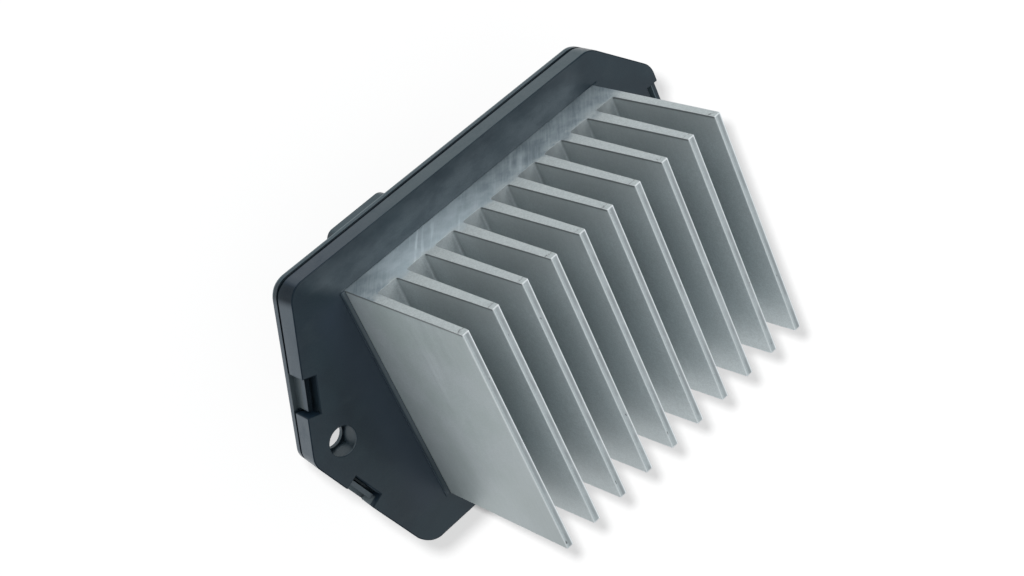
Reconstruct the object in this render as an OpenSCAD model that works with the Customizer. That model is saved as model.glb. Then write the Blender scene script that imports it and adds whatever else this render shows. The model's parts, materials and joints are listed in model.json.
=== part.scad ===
// Blower motor resistor: a finned heat sink on a plastic flange, with a rear cover that holds the
// electronics and the plug socket. The flange face is z = 0, the fins point along +Z, and the origin
// is midway between the two mounting screw holes.

/* [Heat sink] */
// Length of the finned block along the row of fins
hs_len = 60.5; // [56:0.5:64]
// Width of the block along each fin
hs_wid = 46.2; // [42:0.2:50]
// Height of the fin tips above the flange face
fin_top = 31.9; // [24:0.1:38]
// Height of the floor between the fins above the flange face
fin_floor = 7; // [6:0.1:9]
// Number of fins
fin_count = 10; // [7:1:12]
// Thickness of a fin at its tip
fin_tip_t = 1.4; // [1:0.1:2]
// Growth of a fin on each side from its tip to its root
fin_draft = 0.4; // [0.1:0.05:0.6]
// Radius at the foot of each fin
fin_root_r = 0.6; // [0.3:0.1:1]
// Depth of the block's base below the flange face
hs_drop = 1.8; // [1.4:0.1:2]
// Place of the block's middle along the fin row, from the origin
hs_x = 3.2; // [2:0.1:4.4]
// Place of the block's middle across the flange, from the origin
hs_y = -0.4; // [-1:0.1:1]

/* [Flange] */
// Width of the flange across its long edges
flange_wid = 58.4; // [56:0.2:62]
// Length of each long edge between its corner points
long_edge = 71.2; // [69:0.2:75]
// Distance from the near screw hole to the point of the V-shaped near end
near_peak = 6.6; // [5.4:0.1:10]
// Distance from the far screw hole to the flat far end
far_end = 6.8; // [5.4:0.1:10]
// Length of the flat far end between its corner points
far_edge = 36; // [32:0.5:40]
// Radius of the flange corners
corner_r = 4; // [3:0.1:6]
// Thickness of the frame's plate
plate_t = 2.4; // [2:0.1:3]
// Height of the frame's skirt, plate included
skirt_h = 4; // [3.8:0.1:5]
// Thickness of the skirt
skirt_t = 1.8; // [1.2:0.1:2.4]
// Clearance round the heat sink in the frame's window
window_clear = 0.05; // [0.05:0.05:0.3]
// Width of the low rib along each end of the window
rim_w = 1; // [0.6:0.1:1.6]
// Height of that rib above the flange face
rim_h = 0.2; // [0.1:0.1:0.8]
// Thickness of the wall under each end of the window
end_wall_t = 2; // [1.2:0.1:3]
// Length of the tongue that each heat sink screw passes through
tongue_len = 9.6; // [9:0.1:11]
// Width of that tongue
tongue_wid = 10; // [7:0.5:14]
// Clearance between the tongues and the rear cover
tongue_clear = 0.2; // [0.1:0.05:0.4]

/* [Mounting holes] */
// Distance between the two mounting screw holes
hole_spacing = 80; // [78:0.1:82]
// Diameter of the round mouth of each screw hole
hole_d = 5.5; // [4.5:0.1:6]
// Depth of the round mouth of each screw hole
hole_land = 0.4; // [0.3:0.1:1.6]
// Width across the flats of the hexagonal bore behind the mouth
hex_af = 5.6; // [5.6:0.1:6.4]
// Diameter of the boss round each screw hole
boss_d = 10; // [9:0.2:11]
// Width of the rib that joins each boss to the end of the skirt
boss_rib = 6; // [4:0.5:8]
// Diameter of the screw hole in the rear cover
cover_hole_d = 4.9; // [4.4:0.1:5.2]
// Depth of that hole
cover_hole_land = 0.8; // [0.5:0.1:1]
// Diameter of the recess behind it
cover_sink_d = 7; // [6:0.1:8]

/* [Hooks] */
// Width of each hook notch along the flange edge
clip_wid = 6.8; // [5:0.1:8]
// Depth of each hook notch from the flange edge
clip_depth = 2.65; // [2.5:0.05:3.2]
// Distance of the notches from the middle line of the flange
clip_off = 11.3; // [10:0.1:12.4]
// Wall round each notch
clip_wall = 1.3; // [0.8:0.1:1.6]
// Setback of the near hooks from the flange edge
near_hook_in = 0.95; // [0.2:0.05:1.1]
// Setback of the far hooks from the flange edge
far_hook_in = 0.1; // [0:0.05:0.6]
// Thickness of each hook
hook_t = 0.9; // [0.8:0.05:1.3]
// Distance of the hook tops below the flange face
hook_top = 1.1; // [0.8:0.1:1.4]
// Reach of the barb on each hook
barb = 0.35; // [0.3:0.05:0.5]
// Height of that barb
barb_h = 1.2; // [0.8:0.1:1.4]
// Clearance round the hooks
hook_clear = 0.06; // [0.05:0.01:0.2]
// Play at one end of each hook along the flange edge
hook_play = 0.6; // [0.2:0.05:0.8]

/* [Rear cover] */
// Width of the parting groove between frame and cover
parting = 0.3; // [0.1:0.05:0.5]
// Depth of the parting groove
parting_in = 0.9; // [0.5:0.1:1.1]
// Thickness of the cover's lip
lip_t = 1.1; // [0.8:0.1:1.6]
// Wall of the cover's box
box_wall = 1.6; // [1.2:0.1:2]
// Outer corner radius of the box
box_r = 4; // [3:0.1:6]
// Gap between the board and the box wall
board_gap = 2; // [1:0.1:2.4]
// Room between the heat sink screws' heads and the box wall
screw_room = 0.25; // [0.1:0.05:1]
// Room for solder points between board and box floor
solder_room = 2.8; // [2.2:0.1:4]
// Diameter of the posts under the board
post_d = 4.2; // [3.8:0.1:5]
// Inset of the posts from the board's edges
post_in = 3; // [2.6:0.1:3.4]

/* [Plug shroud] */
// Place of the shroud's middle along the flange
shroud_x = -8; // [-9:0.1:-6]
// Place of the shroud's middle across the flange
shroud_y = 14.2; // [13.4:0.1:14.6]
// Outer length of the shroud along the flange
shroud_len = 14.5; // [14:0.1:16]
// Outer width of the shroud
shroud_wid = 10.5; // [9.5:0.1:11]
// Wall of the shroud
shroud_wall = 1.4; // [1:0.1:1.6]
// Outer corner radius of the shroud
shroud_r = 2; // [1.7:0.1:3]
// Height of the shroud behind the box
shroud_out = 7.5; // [6:0.1:12]
// Distance from the contact tips to the shroud's mouth
tip_in = 2.5; // [0.5:0.1:3.5]

/* [Contacts] */
// Width of the two power blades
blade_w = 4; // [3:0.1:4.6]
// Thickness of the power blades
blade_t = 0.8; // [0.5:0.05:1]
// Distance between the power blades
blade_pitch = 5.8; // [5.2:0.1:6.4]
// Thickness of the two signal pins
pin_t = 0.64; // [0.5:0.02:0.8]
// Distance between the signal pins
pin_pitch = 2.5; // [2:0.1:3]
// Distance between the row of blades and the row of pins
row_pitch = 3.8; // [3:0.1:4.2]
// Width of a blade where it passes through the board
neck_w = 1.6; // [1.2:0.1:2.4]
// Height of the contacts above the board
contact_stand = 1.2; // [0.6:0.1:2]
// Clearance round contacts and legs in their holes
lead_clear = 0.1; // [0.05:0.01:0.2]

/* [Circuit board] */
// Length of the board
board_len = 50; // [49:0.5:54]
// Width of the board
board_wid = 34; // [33:0.5:37]
// Thickness of the board
board_t = 1.6; // [1:0.1:2]
// Gap between the board and the transistor screw's head
head_gap = 0.8; // [0.4:0.1:2]
// Length of each lead below the board
lead_stub = 1; // [0.5:0.1:1.6]

/* [Power transistor] */
// Length of the transistor's case
tr_len = 20.8; // [19:0.1:22]
// Width of the case
tr_wid = 15.9; // [15.5:0.1:16.5]
// Thickness of the case
tr_t = 5; // [4.4:0.1:5.4]
// Distance from the case's far end to its screw hole
tr_hole_in = 6.2; // [5.8:0.1:6.6]
// Diameter of the case's screw hole
tr_hole_d = 3.6; // [3.4:0.1:4]
// Place of the transistor screw along the flange
tr_x = 15; // [14:0.1:16]
// Place of the transistor screw across the flange
tr_y = -2; // [-3:0.1:-1]
// Thickness of the metal plate in the case
tr_plate_t = 2; // [1.6:0.1:2.2]
// Margin of that plate inside the case
tr_plate_in = 1.2; // [0.8:0.1:1.6]
// Distance between the transistor's legs
leg_pitch = 5.45; // [5:0.05:5.6]
// Width of a leg
leg_w = 1.2; // [0.8:0.1:1.4]
// Thickness of a leg
leg_t = 0.6; // [0.4:0.05:0.8]
// Straight run of a leg from the case to its bend
leg_reach = 1.9; // [1.5:0.1:2.4]
// Depth of a leg's root in the case
leg_root = 2; // [1.4:0.1:2.4]
// Thickness of the insulating pad
pad_t = 0.3; // [0.2:0.05:0.6]
// Margin of the pad round the case
pad_margin = 0.7; // [0.3:0.1:1.2]

/* [Screws] */
// Diameter of the transistor and heat sink screws
m3_d = 3; // [2.5:0.1:3.3]
// Diameter of their heads
m3_head_d = 5.5; // [5:0.1:6]
// Height of their heads
m3_head_h = 2; // [1.6:0.1:2.4]
// Depth of the screws in the heat sink
m3_bite = 4; // [3:0.1:5]
// Distance of the heat sink screws from the block's ends
hs_screw_in = 6; // [5.4:0.1:6.4]
// Outer diameter of the transistor screw's washer
washer_d = 7; // [6.4:0.1:7.6]
// Thickness of that washer
washer_t = 0.6; // [0.4:0.1:1]
// Diameter of the board screws
board_screw_d = 2.2; // [1.8:0.1:2.6]
// Diameter of the board screws' heads
board_head_d = 4.2; // [3.8:0.1:4.6]
// Height of the board screws' heads
board_head_h = 1.5; // [1:0.1:1.8]
// Depth of the board screws in their posts
board_bite = 2.4; // [1.8:0.1:2.6]
// Clearance round a screw in its hole
screw_clear = 0.05; // [0.02:0.01:0.1]

/* [Board parts] */
// Length of the driver chip's body
chip_len = 4.9; // [4.5:0.1:5.5]
// Width of the driver chip's body
chip_wid = 3.9; // [3.5:0.1:4.2]
// Height of the driver chip's body
chip_h = 1.45; // [1.2:0.05:1.8]
// Height of the driver chip's body above the board
chip_off = 0.15; // [0.1:0.05:0.3]
// Distance between the driver chip's leads
chip_pitch = 1.27; // [1.2:0.01:1.3]
// Width of a chip lead
chip_lead_w = 0.42; // [0.3:0.02:0.6]
// Thickness of a chip lead
chip_lead_t = 0.2; // [0.15:0.05:0.3]
// Reach of a chip lead
chip_lead_out = 1.05; // [0.9:0.05:1.3]
// Diameter of the smoothing capacitor
can_d = 8; // [6:0.1:8.2]
// Length of the smoothing capacitor
can_len = 11; // [9:0.1:11.4]
// Diameter of the capacitor's leads
can_lead_d = 0.6; // [0.5:0.05:0.8]
// Distance between the capacitor's leads
can_lead_pitch = 2.5; // [2:0.1:3.5]
// Gap between the capacitor and the heat sink
can_gap = 0.6; // [0.3:0.1:1]
// Diameter of the flyback diode
diode_d = 5.2; // [4.6:0.1:5.6]
// Length of the flyback diode
diode_len = 9.2; // [8:0.1:10]
// Diameter of the diode's leads
diode_lead_d = 1.2; // [0.8:0.1:1.3]
// Run of each wire lead from its part to its bend
wire_run = 1.6; // [1.3:0.1:2]
// Length of the shunt resistor
shunt_len = 6.4; // [5.6:0.1:7]
// Width of the shunt resistor
shunt_wid = 3.2; // [2.6:0.1:3.6]
// Height of the shunt resistor
shunt_h = 0.6; // [0.4:0.1:1]
// Length of a chip resistor
res_len = 3.2; // [2.8:0.1:3.4]
// Width of a chip resistor
res_wid = 1.6; // [1.2:0.1:1.8]
// Height of a chip resistor
res_h = 0.6; // [0.4:0.1:0.8]
// Number of chip resistors
res_count = 4; // [1:1:4]
// Length of a chip capacitor
cer_len = 2; // [1.6:0.1:2.2]
// Width of a chip capacitor
cer_wid = 1.25; // [1:0.05:1.4]
// Height of a chip capacitor
cer_h = 0.9; // [0.6:0.1:1.2]
// Number of chip capacitors
cer_count = 3; // [1:1:3]
// Gap between neighbouring parts on the board
part_gap = 1.2; // [1:0.1:1.4]

/* [Hidden] */
$fn = 48;
cut = 1;
// Overlap of each corner arc over the straight edges beside it
arc_lap = 0.004;

black_plastic = [0.17, 0.19, 0.21];
aluminium = [0.66, 0.69, 0.7];
steel = [0.72, 0.72, 0.7];
tin = [0.78, 0.78, 0.76];
epoxy = [0.1, 0.1, 0.11];

// Heat sink
fin_pitch = (hs_len - fin_tip_t) / (fin_count - 1);
gap_top = fin_pitch - fin_tip_t;
gap_foot = gap_top - 2 * fin_draft;
base_z = -hs_drop;

// Flange outline, anticlockwise from the near point
near_x = -hole_spacing / 2 - near_peak;
far_x = hole_spacing / 2 + far_end;
outline_pts = [
    [near_x, 0], [-long_edge / 2, -flange_wid / 2], [long_edge / 2, -flange_wid / 2],
    [far_x, -far_edge / 2], [far_x, far_edge / 2],
    [long_edge / 2, flange_wid / 2], [-long_edge / 2, flange_wid / 2]
];
near_tilt = atan2(-near_x - long_edge / 2, flange_wid / 2);
near_clip_x = near_x + clip_off * tan(near_tilt);
tongue_t = skirt_h - hs_drop - tongue_clear;
hex_r = hex_af / 2 / cos(30);
hs_screw_x = [hs_x - hs_len / 2 + hs_screw_in, hs_x + hs_len / 2 - hs_screw_in];
hs_screw_z = base_z - tongue_t;

// Heights behind the flange, from the heat sink's base back to the plug
pad_z = base_z - pad_t;
tr_z = pad_z - tr_t;
tr_head_z = tr_z - washer_t;
board_z = min(tr_head_z - m3_head_h - head_gap, base_z - can_gap - can_d);
board_back_z = board_z - board_t;
floor_z = board_back_z - solder_room;
back_z = floor_z - box_wall;
mouth_z = back_z - shroud_out;
lip_z = -skirt_h - parting;
lip_back_z = lip_z - lip_t;

// Board and box, both centred on the heat sink's length and the flange's middle line
cavity_len = max(board_len + 2 * board_gap, hs_screw_x[1] - hs_screw_x[0] + m3_head_d + 2 * screw_room);
cavity_wid = board_wid + 2 * board_gap;
box_len = cavity_len + 2 * box_wall;
box_wid = cavity_wid + 2 * box_wall;
post_x = board_len / 2 - post_in;
post_y = board_wid / 2 - post_in;
posts = [for (sx = [-1, 1], sy = [-1, 1]) [hs_x + sx * post_x, sy * post_y]];
near_screw_at = [hs_x - post_x, post_y];
far_screw_at = [hs_x + post_x, -post_y];

// Transistor
case_x1 = tr_x + tr_hole_in;
case_x0 = case_x1 - tr_len;
plate_x0 = case_x0 + leg_root + tr_plate_in / 2;
plate_wid = tr_wid - 2 * tr_plate_in;
leg_z = pad_z - tr_plate_t - leg_t;
leg_x = case_x0 - leg_reach;

// Places of the contacts
blade_y = shroud_y + row_pitch / 2;
pin_y = shroud_y - row_pitch / 2;
tip_z = mouth_z + tip_in;

// Places of the board parts: a chip left of the transistor's legs, the can below it, the diode above
// the case, and the chip resistors and chip capacitors in two rows
chip_x = leg_x - part_gap - chip_len / 2 - leg_t;
chip_y = tr_y;
can_x1 = leg_x - part_gap;
can_y = chip_y - chip_wid / 2 - chip_lead_out - part_gap - can_d / 2;
diode_x = tr_x;
diode_y = tr_y + tr_wid / 2 + 2 * part_gap + diode_d / 2;
shunt_x = chip_x - chip_len / 2 - part_gap - shunt_wid / 2;
res_y = chip_y + chip_wid / 2 + chip_lead_out + part_gap + res_len / 2;
cer_y = res_y + res_len / 2 + part_gap / 2 + cer_len / 2;

function unit(v) = v / norm(v);
function inward(p, q) = let (u = unit(q - p)) [-u.y, u.x];
function before(pts, i) = inward(pts[(i + len(pts) - 1) % len(pts)], pts[i]);
function after(pts, i) = inward(pts[i], pts[(i + 1) % len(pts)]);
function arc_centre(pts, i, r) =
    let (a = before(pts, i), b = after(pts, i)) pts[i] + r * (a + b) / (1 + a * b);

// A closed outline with true arcs of radius r at its corners, drawn in by the given inset
module rounded(pts, r, inset = 0) {
    polygon([for (i = [0 : len(pts) - 1], n = [before(pts, i), after(pts, i)])
        arc_centre(pts, i, r) - (r - inset) * n]);
    for (i = [0 : len(pts) - 1])
        translate(arc_centre(pts, i, r)) circle(r - inset + arc_lap);
}

module rounded_box(size, r) {
    x = size.x / 2;
    y = size.y / 2;
    linear_extrude(size.z) rounded([[-x, -y], [x, -y], [x, y], [-x, y]], r);
}

module flange(z0, z1, inset = 0) {
    translate([0, 0, z0]) linear_extrude(z1 - z0) rounded(outline_pts, corner_r, inset);
}

// A block given by its middle in x and y and its two heights
module slab(x, y, dx, dy, z0, z1) {
    translate([x - dx / 2, y - dy / 2, z0]) cube([dx, dy, z1 - z0]);
}

module bore(x, y, d, z0, z1) {
    translate([x, y, z0]) cylinder(d = d, h = z1 - z0);
}

// Screw with its shank along +Z and a pan head with a cross recess below z = 0
module pan_screw(d, bite, head_d, head_h) {
    slot = head_d * 0.5;
    slot_w = head_d * 0.14;
    difference() {
        union() {
            cylinder(d = d, h = bite);
            translate([0, 0, -head_h]) cylinder(d = head_d, h = head_h);
        }
        translate([-slot / 2, -slot_w / 2, -head_h - cut]) cube([slot, slot_w, head_h / 2 + cut]);
        translate([-slot_w / 2, -slot / 2, -head_h - cut]) cube([slot_w, slot, head_h / 2 + cut]);
    }
}

// Puts its children at each hook, with x pointing in from the flange edge
module at_near_hooks() {
    for (s = [-1, 1])
        translate([near_clip_x, s * clip_off, 0]) rotate(-s * near_tilt) children();
}

module at_far_hooks() {
    for (s = [-1, 1])
        translate([far_x, s * clip_off, 0]) mirror([1, 0, 0]) children();
}

// Space between two fins, seen along the fin
module fin_gap() {
    foot_z = fin_floor + fin_root_r;
    polygon([
        [-gap_foot / 2, foot_z], [gap_foot / 2, foot_z],
        [gap_top / 2, fin_top], [gap_top / 2, fin_top + cut], [-gap_top / 2, fin_top + cut], [-gap_top / 2, fin_top]
    ]);
    translate([-gap_foot / 2 + fin_root_r, fin_floor]) square([gap_foot - 2 * fin_root_r, 2 * fin_root_r]);
    for (s = [-1, 1])
        translate([s * (gap_foot / 2 - fin_root_r), foot_z]) circle(fin_root_r);
}

module heat_sink() {
    color(aluminium) difference() {
        translate([hs_x, hs_y + hs_wid / 2, 0]) rotate([90, 0, 0]) linear_extrude(hs_wid) difference() {
            translate([-hs_len / 2, base_z]) square([hs_len, fin_top - base_z]);
            for (i = [0 : fin_count - 2])
                translate([-hs_len / 2 + fin_tip_t / 2 + (i + 0.5) * fin_pitch, 0]) fin_gap();
        }
        for (x = hs_screw_x)
            bore(x, hs_y, m3_d + 2 * screw_clear, base_z - cut, base_z + m3_bite + screw_clear);
        bore(tr_x, tr_y, m3_d + 2 * screw_clear, base_z - cut, base_z + m3_bite + screw_clear);
    }
}

module hook_notch() {
    slab(clip_depth / 2 - cut / 2, 0, clip_depth + cut, clip_wid, -skirt_h - cut, cut);
}

module hook_block() {
    depth = clip_depth + clip_wall;
    slab(depth / 2 + skirt_t / 4, 0, depth - skirt_t / 2, clip_wid + 2 * clip_wall, -skirt_h, 0);
}

// Ledge that a hook's barb catches on
module hook_ledge(setback) {
    from = setback + hook_t + hook_clear;
    top = -hook_top - barb_h - hook_clear;
    slab((from + clip_depth + clip_wall) / 2, 0, clip_depth + clip_wall - from, clip_wid + clip_wall, -skirt_h, top);
}

module hook(setback) {
    x1 = setback + hook_t;
    foot = lip_z - lip_t / 2;
    translate([0, clip_wid / 2 - hook_clear, 0]) rotate([90, 0, 0])
        linear_extrude(clip_wid - hook_clear - hook_play) polygon([
            [setback, foot], [x1, foot], [x1, -hook_top - barb_h], [x1 + barb, -hook_top - barb_h],
            [x1 + barb, -hook_top - barb_h * 0.7], [x1, -hook_top], [setback, -hook_top]
        ]);
}

module front_frame() {
    window_len = hs_len + 2 * window_clear;
    window_wid = hs_wid + 2 * window_clear;
    color(black_plastic) difference() {
        union() {
            difference() {
                union() {
                    flange(-plate_t, 0);
                    difference() {
                        flange(-skirt_h, 0);
                        flange(-skirt_h - cut, cut, skirt_t);
                    }
                    for (s = [-1, 1])
                        bore(s * hole_spacing / 2, 0, boss_d, -skirt_h, 0);
                    for (end = [[-hole_spacing / 2, near_x + skirt_t], [hole_spacing / 2, far_x - skirt_t / 2]])
                        slab((end[0] + end[1]) / 2, 0, abs(end[1] - end[0]), boss_rib, -skirt_h, 0);
                    slab(hs_x, hs_y, window_len + 2 * end_wall_t, window_wid, -skirt_h + tongue_clear, 0);
                    for (s = [-1, 1])
                        slab(hs_x + s * (window_len + rim_w) / 2, hs_y, rim_w, window_wid, -plate_t, rim_h);
                    at_near_hooks() hook_block();
                    at_far_hooks() hook_block();
                }
                slab(hs_x, hs_y, window_len, window_wid, -skirt_h - cut, rim_h + cut);
                at_near_hooks() hook_notch();
                at_far_hooks() hook_notch();
            }
            at_near_hooks() hook_ledge(near_hook_in);
            at_far_hooks() hook_ledge(far_hook_in);
            for (s = [-1, 1])
                slab(hs_x + s * (window_len / 2 + end_wall_t - (tongue_len + end_wall_t) / 2), hs_y,
                    tongue_len + end_wall_t, tongue_wid, base_z - tongue_t, base_z);
        }
        for (s = [-1, 1]) {
            bore(s * hole_spacing / 2, 0, hole_d, -hole_land - cut, cut);
            translate([s * hole_spacing / 2, 0, -skirt_h - cut])
                cylinder(r = hex_r, h = skirt_h - hole_land + cut, $fn = 6);
        }
        for (x = hs_screw_x)
            bore(x, hs_y, m3_d + 2 * screw_clear, base_z - tongue_t - cut, base_z + cut);
    }
}

module rear_cover() {
    color(black_plastic) difference() {
        union() {
            difference() {
                union() {
                    flange(lip_back_z, lip_z);
                    flange(lip_back_z, -skirt_h, parting_in);
                    translate([hs_x, 0, back_z])
                        rounded_box([box_len, box_wid, lip_back_z + lip_t / 2 - back_z], box_r);
                    translate([shroud_x, shroud_y, mouth_z])
                        rounded_box([shroud_len, shroud_wid, shroud_out + box_wall / 2], shroud_r);
                }
                translate([hs_x, 0, floor_z])
                    rounded_box([cavity_len, cavity_wid, -floor_z], box_r - box_wall);
                translate([shroud_x, shroud_y, mouth_z - cut])
                    rounded_box([shroud_len - 2 * shroud_wall, shroud_wid - 2 * shroud_wall, shroud_out + cut],
                        shroud_r - shroud_wall);
                for (s = [-1, 1]) {
                    bore(s * hole_spacing / 2, 0, cover_hole_d, lip_back_z - cut, -skirt_h + cut);
                    bore(s * hole_spacing / 2, 0, cover_sink_d, lip_back_z - cut, -skirt_h - cover_hole_land);
                }
            }
            for (p = posts)
                bore(p.x, p.y, post_d, floor_z - box_wall / 2, board_back_z);
            at_near_hooks() hook(near_hook_in);
            at_far_hooks() hook(far_hook_in);
        }
        for (p = [near_screw_at, far_screw_at])
            bore(p.x, p.y, board_screw_d + 2 * screw_clear,
                board_back_z - board_bite - screw_clear, board_back_z + cut);
        for (s = [-1, 1]) {
            slab(shroud_x + s * blade_pitch / 2, blade_y, blade_w + 2 * lead_clear, blade_t + 2 * lead_clear,
                back_z - cut, floor_z + cut);
            slab(shroud_x + s * pin_pitch / 2, pin_y, pin_t + 2 * lead_clear, pin_t + 2 * lead_clear,
                back_z - cut, floor_z + cut);
        }
    }
}

module circuit_board() {
    z0 = board_back_z - cut;
    z1 = board_z + cut;
    color([0.12, 0.34, 0.2]) difference() {
        slab(hs_x, 0, board_len, board_wid, board_back_z, board_z);
        for (p = [near_screw_at, far_screw_at])
            bore(p.x, p.y, board_screw_d + 2 * screw_clear, z0, z1);
        for (s = [-1, 1]) {
            slab(shroud_x + s * blade_pitch / 2, blade_y, neck_w + 2 * lead_clear, blade_t + 2 * lead_clear, z0, z1);
            slab(shroud_x + s * pin_pitch / 2, pin_y, pin_t + 2 * lead_clear, pin_t + 2 * lead_clear, z0, z1);
            bore(can_x1 - can_len - wire_run, can_y + s * can_lead_pitch / 2, can_lead_d + 2 * lead_clear, z0, z1);
            bore(diode_x + s * (diode_len / 2 + wire_run), diode_y, diode_lead_d + 2 * lead_clear, z0, z1);
        }
        for (i = [-1 : 1])
            slab(leg_x + leg_t / 2, tr_y + i * leg_pitch, leg_t + 2 * lead_clear, leg_w + 2 * lead_clear, z0, z1);
    }
}

// The transistor's metal plate
module tr_plate() {
    translate([plate_x0, tr_y - plate_wid / 2, pad_z - tr_plate_t])
        cube([case_x1 - tr_plate_in - plate_x0, plate_wid, tr_plate_t]);
}

// One bent leg, from its root in the case to its stub below the board
module tr_leg(i, root) {
    y = tr_y + i * leg_pitch - leg_w / 2;
    stub_z = board_back_z - lead_stub;
    translate([leg_x, y, leg_z]) cube([leg_reach + root, leg_w, leg_t]);
    translate([leg_x, y, stub_z]) cube([leg_t, leg_w, leg_z + leg_t - stub_z]);
}

module leadframe_shape() {
    tr_plate();
    tr_leg(-1, leg_root);
    tr_leg(0, leg_root + 2 * tr_plate_in);
    tr_leg(1, leg_root);
}

module transistor_case() {
    color(epoxy) difference() {
        translate([case_x0, tr_y - tr_wid / 2, tr_z]) cube([tr_len, tr_wid, tr_t]);
        leadframe_shape();
        bore(tr_x, tr_y, tr_hole_d, tr_z - cut, pad_z + cut);
    }
}

module transistor_leadframe() {
    color(tin) difference() {
        leadframe_shape();
        bore(tr_x, tr_y, tr_hole_d, tr_z - cut, pad_z + cut);
    }
}

module insulating_pad() {
    color([0.75, 0.77, 0.78]) difference() {
        slab((case_x0 + case_x1) / 2, tr_y, tr_len + 2 * pad_margin, tr_wid + 2 * pad_margin, pad_z, base_z);
        bore(tr_x, tr_y, tr_hole_d, pad_z - cut, base_z + cut);
    }
}

module transistor_screw() {
    color(steel) translate([tr_x, tr_y, tr_head_z])
        pan_screw(m3_d, base_z + m3_bite - tr_head_z, m3_head_d, m3_head_h);
}

module transistor_washer() {
    color(steel) difference() {
        bore(tr_x, tr_y, washer_d, tr_head_z, tr_z);
        bore(tr_x, tr_y, m3_d + 2 * screw_clear, tr_head_z - cut, tr_z + cut);
    }
}

module heat_sink_screw(x) {
    color(steel) translate([x, hs_y, hs_screw_z])
        pan_screw(m3_d, tongue_t + m3_bite, m3_head_d, m3_head_h);
}

module heat_sink_screw_near() {
    heat_sink_screw(hs_screw_x[0]);
}

module heat_sink_screw_far() {
    heat_sink_screw(hs_screw_x[1]);
}

module board_screw(at) {
    color(steel) translate([at.x, at.y, board_z]) mirror([0, 0, 1])
        pan_screw(board_screw_d, board_t + board_bite, board_head_d, board_head_h);
}

module board_screw_near() {
    board_screw(near_screw_at);
}

module board_screw_far() {
    board_screw(far_screw_at);
}

// Flat contact with a pointed tip, shouldered against the board
module power_blade(s) {
    w = blade_w / 2;
    n = neck_w / 2;
    top = board_z + contact_stand;
    color(tin) translate([shroud_x + s * blade_pitch / 2, blade_y + blade_t / 2, 0]) rotate([90, 0, 0])
        linear_extrude(blade_t) polygon([
            [-w / 2, tip_z], [w / 2, tip_z], [w, tip_z + w / 2], [w, board_back_z],
            [n, board_back_z], [n, top], [-n, top], [-n, board_back_z], [-w, board_back_z], [-w, tip_z + w / 2]
        ]);
}

module signal_pin(s) {
    top = board_z + contact_stand;
    color(tin) slab(shroud_x + s * pin_pitch / 2, pin_y, pin_t, pin_t, tip_z, top);
}

module terminal_supply() {
    power_blade(-1);
}

module terminal_motor() {
    power_blade(1);
}

module terminal_control() {
    signal_pin(-1);
}

module terminal_sense() {
    signal_pin(1);
}

module driver_chip() {
    color(epoxy) slab(chip_x, chip_y, chip_len, chip_wid, board_z + chip_off, board_z + chip_off + chip_h);
}

module chip_lead() {
    knee = chip_off + chip_h / 2;
    bend = chip_lead_out * 0.4;
    rotate([90, 0, 90]) translate([0, 0, -chip_lead_w / 2]) linear_extrude(chip_lead_w) polygon([
        [0, knee], [bend, knee], [bend, 0], [chip_lead_out, 0], [chip_lead_out, chip_lead_t],
        [bend + chip_lead_t, chip_lead_t], [bend + chip_lead_t, knee + chip_lead_t], [0, knee + chip_lead_t]
    ]);
}

module driver_chip_leads() {
    color(tin) for (s = [0, 1], i = [-1.5 : 1.5])
        translate([chip_x, chip_y, board_z]) rotate(180 * s)
            translate([i * chip_pitch, chip_wid / 2, 0]) chip_lead();
}

module smoothing_capacitor() {
    color([0.2, 0.22, 0.28]) translate([can_x1 - can_len, can_y, board_z + can_d / 2])
        rotate([0, 90, 0]) cylinder(d = can_d, h = can_len);
}

// Round wire from the end of a part at height h, bent down through the board
module wire_lead(d, h) {
    stub_z = -board_t - lead_stub;
    translate([0, 0, h]) rotate([0, 90, 0]) cylinder(d = d, h = wire_run);
    translate([wire_run, 0, h]) sphere(d = d);
    translate([wire_run, 0, stub_z]) cylinder(d = d, h = h - stub_z);
}

module capacitor_leads() {
    color(tin) for (s = [-1, 1])
        translate([can_x1 - can_len, can_y + s * can_lead_pitch / 2, board_z]) rotate(180)
            wire_lead(can_lead_d, can_d / 2);
}

module flyback_diode() {
    color(epoxy) translate([diode_x - diode_len / 2, diode_y, board_z + diode_d / 2])
        rotate([0, 90, 0]) cylinder(d = diode_d, h = diode_len);
}

module flyback_diode_leads() {
    color(tin) for (s = [0, 1])
        translate([diode_x, diode_y, board_z]) rotate(180 * s) translate([diode_len / 2, 0, 0])
            wire_lead(diode_lead_d, diode_d / 2);
}

module shunt_resistor() {
    color(epoxy) slab(shunt_x, chip_y, shunt_wid, shunt_len, board_z, board_z + shunt_h);
}

module chip_resistors() {
    color([0.16, 0.16, 0.17]) for (i = [0 : res_count - 1])
        slab(leg_x - part_gap - res_wid / 2 - i * (res_wid + part_gap), res_y, res_wid, res_len,
            board_z, board_z + res_h);
}

module chip_capacitors() {
    color([0.62, 0.5, 0.36]) for (i = [0 : cer_count - 1])
        slab(leg_x - part_gap - cer_wid / 2 - i * (cer_wid + part_gap), cer_y, cer_wid, cer_len,
            board_z, board_z + cer_h);
}

heat_sink();
front_frame();
rear_cover();
circuit_board();
transistor_case();
transistor_leadframe();
insulating_pad();
transistor_screw();
transistor_washer();
heat_sink_screw_near();
heat_sink_screw_far();
board_screw_near();
board_screw_far();
terminal_supply();
terminal_motor();
terminal_control();
terminal_sense();
driver_chip();
driver_chip_leads();
smoothing_capacitor();
capacitor_leads();
flyback_diode();
flyback_diode_leads();
shunt_resistor();
chip_resistors();
chip_capacitors();
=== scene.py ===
import json
import math

import bmesh
import bpy
from mathutils import Matrix, Vector


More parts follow.
